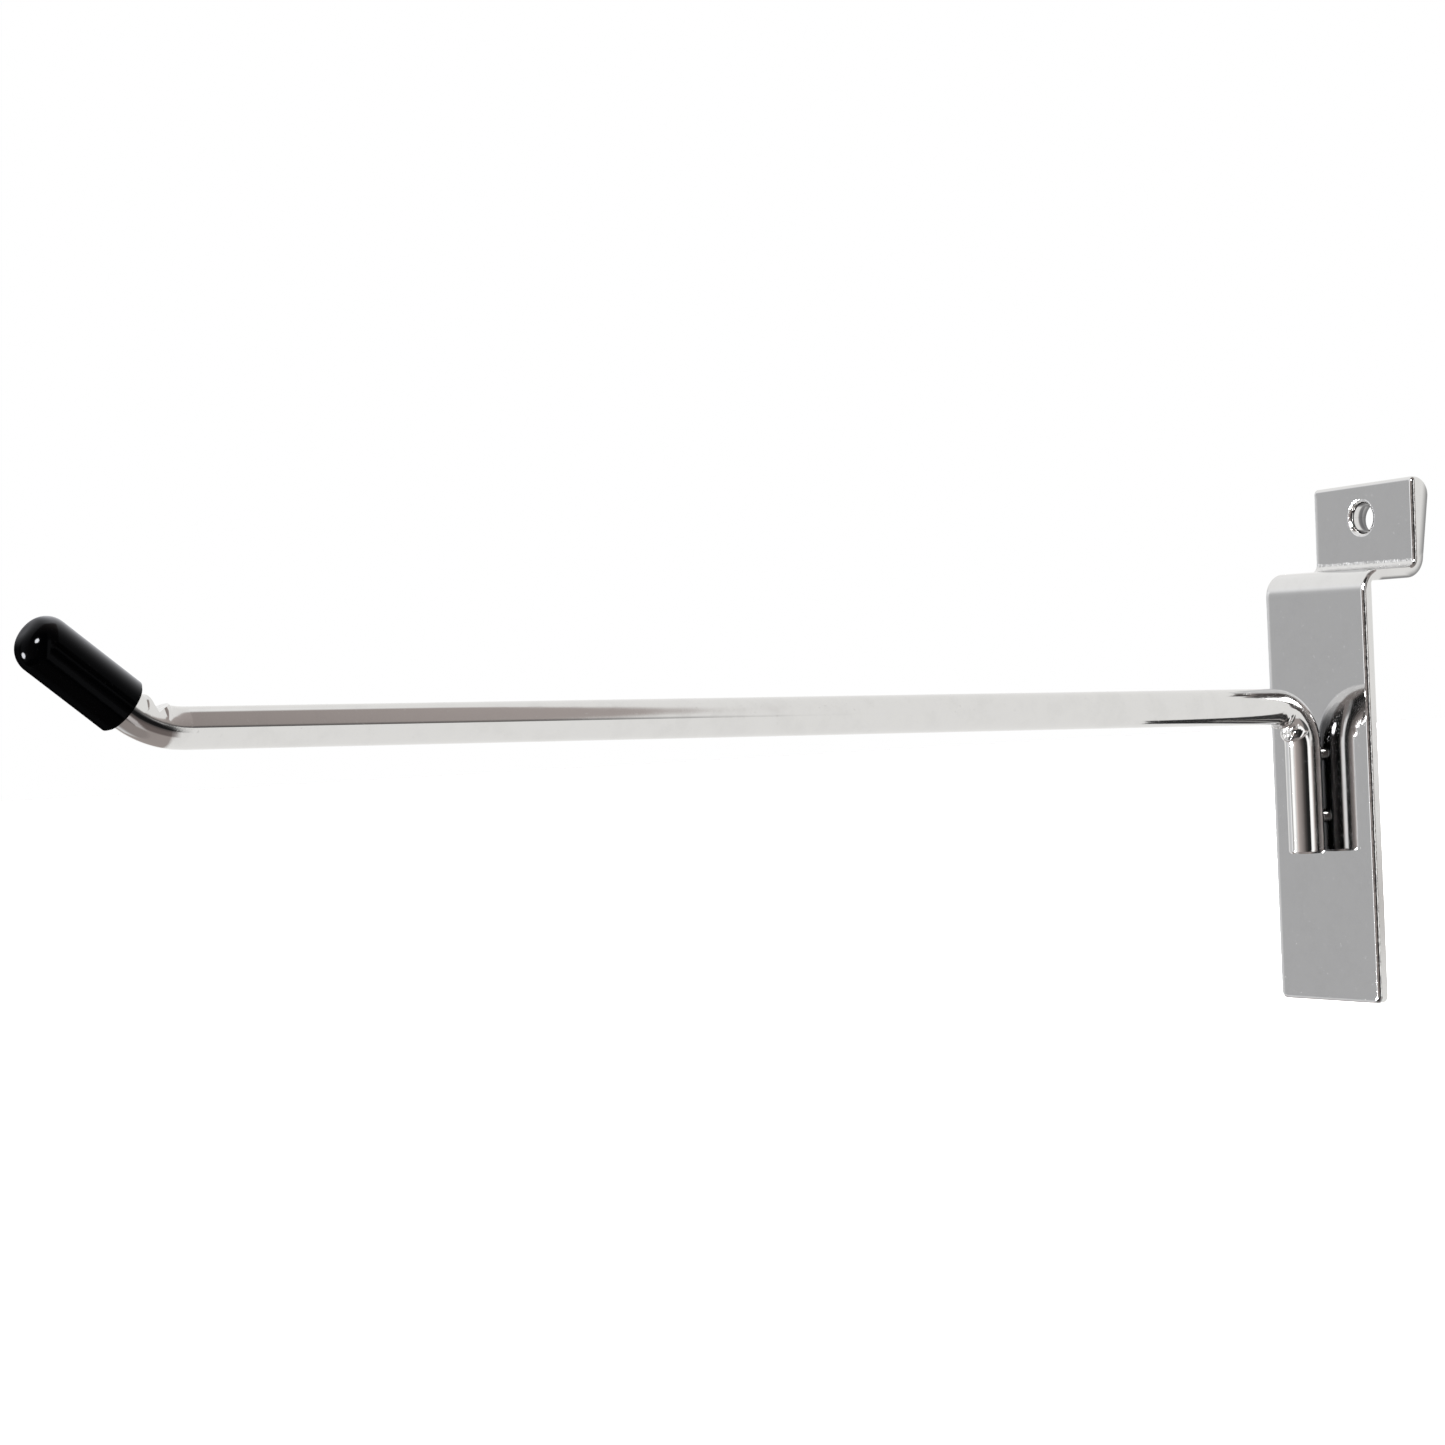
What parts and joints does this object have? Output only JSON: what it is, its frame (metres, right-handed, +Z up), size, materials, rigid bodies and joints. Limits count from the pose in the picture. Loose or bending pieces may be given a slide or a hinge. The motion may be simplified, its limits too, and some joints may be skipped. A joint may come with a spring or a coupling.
{
  "type": "slatwall hook",
  "caption": "Chromed slatwall display hook: a formed back plate whose tongue sits in the slat groove, a long bent round arm welded to its front, and a soft cap on the raised tip.",
  "frame": {"origin": "centre of the lower plate's flat rear face, in the plane where the hook bears on the panel", "axes": "+Y into the wall (the rear face's outward normal), -Y along the arm towards its tip, +X across the plate, +Z up"},
  "size_m": [0.0254, 0.2656, 0.0925],
  "materials": {
    "plate_chrome": "bright plated steel plate",
    "arm_chrome": "bright plated round steel rod",
    "cap_vinyl": "soft black vinyl, semi-gloss"
  },
  "bodies": {
    "root": {"back_plate": "plate_chrome", "arm": "arm_chrome", "end_cap": "cap_vinyl"}
  },
  "joints": []
}
